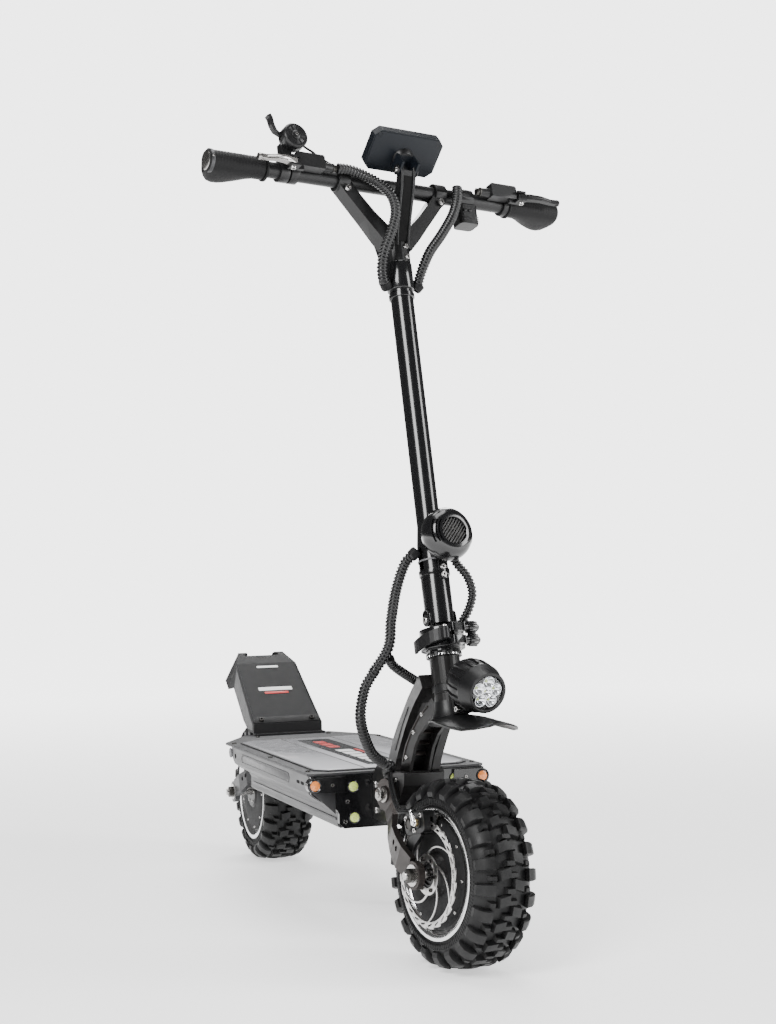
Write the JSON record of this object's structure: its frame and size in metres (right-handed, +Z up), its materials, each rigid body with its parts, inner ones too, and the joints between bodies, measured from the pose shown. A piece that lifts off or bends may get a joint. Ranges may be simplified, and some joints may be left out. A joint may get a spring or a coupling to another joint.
{
  "type": "electric kick scooter",
  "caption": "Standing electric kick scooter with sprung arms, knobbly hub-motor wheels, folding mast, bar with brake levers, round headlight, horn and a sloping rear footrest.",
  "frame": {"origin": "on the ground under the middle of the scooter", "axes": "+Z up, -Y the direction of travel, +X the rider's left"},
  "size_m": [0.631, 1.3186, 1.2748],
  "materials": {
    "tray_grey": "anodised satin",
    "plate_grey": "anodised satin",
    "mat_white": "printed glossy sheet with a satin border",
    "battery_wrap": "shrink wrap",
    "controller_case": "finned casting",
    "gloss_black": "gloss black paint",
    "satin_black": "satin black powder coat",
    "cast_dark": "dark bronze-grey painted casting",
    "textured_dark": "coarse textured powder coat",
    "arm_grey": "anodised satin",
    "steel": "plated",
    "dark_steel": "dark plated",
    "tyre_rubber": "knobbly rubber",
    "soft_rubber": "matte rubber",
    "black_plastic": "moulded",
    "red_lens": "red lens",
    "clear_lens": "clear lens",
    "screen_glass": "dark screen window"
  },
  "bodies": {
    "chassis": {"deck_tray": "tray_grey", "deck_plate": "plate_grey", "grip_mat": "mat_white", "battery_pack": "battery_wrap", "motor_controller": "controller_case", "front_plate": "gloss_black", "neck_frame": "cast_dark", "footrest": "textured_dark", "tail_light": "red_lens", "rear_suspension_block": "satin_black"},
    "kickstand_leg": {"kickstand": "dark_steel"},
    "rear_arm": {"rear_swing_arm": "arm_grey", "rear_axle": "steel", "rear_caliper": "satin_black"},
    "rear_wheel": {"rear_tyre": "tyre_rubber", "rear_hub_motor": "cast_dark", "rear_brake_disc": "steel"},
    "steering": {"fork": "cast_dark", "front_fender": "satin_black", "lamp_bracket": "satin_black", "lock_ring": "steel", "stem_knuckle": "satin_black", "clamp_upper": "satin_black", "clamp_lower": "satin_black", "stem_harness": "soft_rubber", "deck_harness": "soft_rubber", "brake_hose_front": "soft_rubber"},
    "cam_lever": {"clamp_lever": "arm_grey"},
    "upper_knob": {"clamp_knob_upper": "satin_black"},
    "lower_knob": {"clamp_knob_lower": "satin_black"},
    "headlight": {"headlight_body": "satin_black", "headlight_lens": "clear_lens"},
    "front_arm": {"front_swing_arm": "cast_dark", "front_axle": "steel", "front_caliper": "satin_black"},
    "front_wheel": {"front_tyre": "tyre_rubber", "front_hub_motor": "cast_dark", "front_brake_disc": "steel"},
    "stem": {"stem_tube": "gloss_black", "yoke": "satin_black", "handlebar": "gloss_black", "grip_right": "soft_rubber", "grip_left": "soft_rubber", "brake_perch_right": "satin_black", "brake_perch_left": "satin_black", "throttle_body": "black_plastic", "display_housing": "black_plastic", "display_screen": "screen_glass", "horn": "black_plastic", "switch_pod": "black_plastic", "fold_pin": "steel", "bar_cable_right": "soft_rubber", "bar_cable_left": "soft_rubber", "horn_cable": "soft_rubber"},
    "right_lever": {"brake_lever_right": "steel"},
    "left_lever": {"brake_lever_left": "dark_steel"},
    "trigger": {"throttle_trigger": "black_plastic"},
    "display_key": {"display_button": "black_plastic"},
    "horn_key": {"horn_button": "red_lens"},
    "hook": {"fold_hook": "satin_black"}
  },
  "joints": [
    {"name": "steering_turn", "type": "hinge", "parent": "chassis", "child": "steering", "pos_m": [0, -0.4504, 0.468], "axis": [0, 0.2644, 0.9644], "range_deg": [-50, 28], "deforming": ["deck_harness"]},
    {"name": "stem_fold", "type": "hinge", "parent": "steering", "child": "stem", "pos_m": [0, -0.44247, 0.49693], "axis": [-0.9799, -0.1923, 0.0527], "range_deg": [0, 74], "deforming": ["stem_harness", "horn_cable"]},
    {"name": "front_suspension", "type": "hinge", "parent": "steering", "child": "front_arm", "pos_m": [-0.02801, -0.37172, 0.23425], "axis": [-0.9799, -0.1923, 0.0527], "range_deg": [0, 9], "stiffness_Nm_per_rad": 260, "springref_deg": -9.17, "deforming": ["brake_hose_front"]},
    {"name": "rear_suspension", "type": "hinge", "parent": "chassis", "child": "rear_arm", "pos_m": [0, 0.369, 0.2335], "axis": [1, 0, 0], "range_deg": [0, 8], "stiffness_Nm_per_rad": 300, "springref_deg": -9.17},
    {"name": "front_wheel_spin", "type": "hinge", "parent": "front_arm", "child": "front_wheel", "pos_m": [-0.00461, -0.51775, 0.13656], "axis": [0.9799, 0.1923, -0.0527], "continuous": true},
    {"name": "rear_wheel_spin", "type": "hinge", "parent": "rear_arm", "child": "rear_wheel", "pos_m": [0, 0.5173, 0.1357], "axis": [1, 0, 0], "continuous": true},
    {"name": "kickstand_swing", "type": "hinge", "parent": "chassis", "child": "kickstand_leg", "pos_m": [0.112, -0.02, 0.178], "axis": [1, 0, 0], "range_deg": [0, 105]},
    {"name": "clamp_lever_swing", "type": "hinge", "parent": "steering", "child": "cam_lever", "pos_m": [-0.01171, -0.49403, 0.47996], "axis": [0, 0.2644, 0.9644], "range_deg": [0, 95]},
    {"name": "clamp_knob_upper_turn", "type": "hinge", "parent": "steering", "child": "upper_knob", "pos_m": [0.00817, -0.4865, 0.48827], "axis": [0.9799, 0.1923, -0.0527], "continuous": true},
    {"name": "clamp_knob_lower_turn", "type": "hinge", "parent": "steering", "child": "lower_knob", "pos_m": [0.00817, -0.49153, 0.46994], "axis": [0.9799, 0.1923, -0.0527], "continuous": true},
    {"name": "headlight_tilt", "type": "hinge", "parent": "steering", "child": "headlight", "pos_m": [0.00797, -0.51768, 0.37083], "axis": [0.9799, 0.1923, -0.0527], "range_deg": [-2, 7]},
    {"name": "brake_lever_right_pull", "type": "hinge", "parent": "stem", "child": "right_lever", "pos_m": [-0.17765, -0.32262, 1.1982], "axis": [0, -0.2644, -0.9644], "range_deg": [0, 9], "stiffness_Nm_per_rad": 0.6, "springref_deg": -14.32},
    {"name": "brake_lever_left_pull", "type": "hinge", "parent": "stem", "child": "left_lever", "pos_m": [0.23294, -0.24206, 1.17612], "axis": [0, 0.2644, 0.9644], "range_deg": [0, 9], "stiffness_Nm_per_rad": 0.6, "springref_deg": -14.32},
    {"name": "throttle_pull", "type": "hinge", "parent": "stem", "child": "trigger", "pos_m": [-0.17178, -0.30492, 1.23897], "axis": [0.1994, -0.9451, 0.2591], "range_deg": [0, 24], "stiffness_Nm_per_rad": 0.12, "springref_deg": -22.92},
    {"name": "display_button_press", "type": "slide", "parent": "stem", "child": "display_key", "axis": [0.1115, -0.7476, -0.6547], "range_m": [0, 0.0015], "stiffness_N_per_m": 250, "springref_m": -0.0015},
    {"name": "horn_button_press", "type": "slide", "parent": "stem", "child": "horn_key", "axis": [0.1994, -0.9451, 0.2591], "range_m": [0, 0.003], "stiffness_N_per_m": 250, "springref_m": -0.0015},
    {"name": "fold_hook_swing", "type": "hinge", "parent": "stem", "child": "hook", "pos_m": [-0.00578, -0.24798, 1.09893], "axis": [0.9799, 0.1923, -0.0527], "range_deg": [0, 95]}
  ]
}
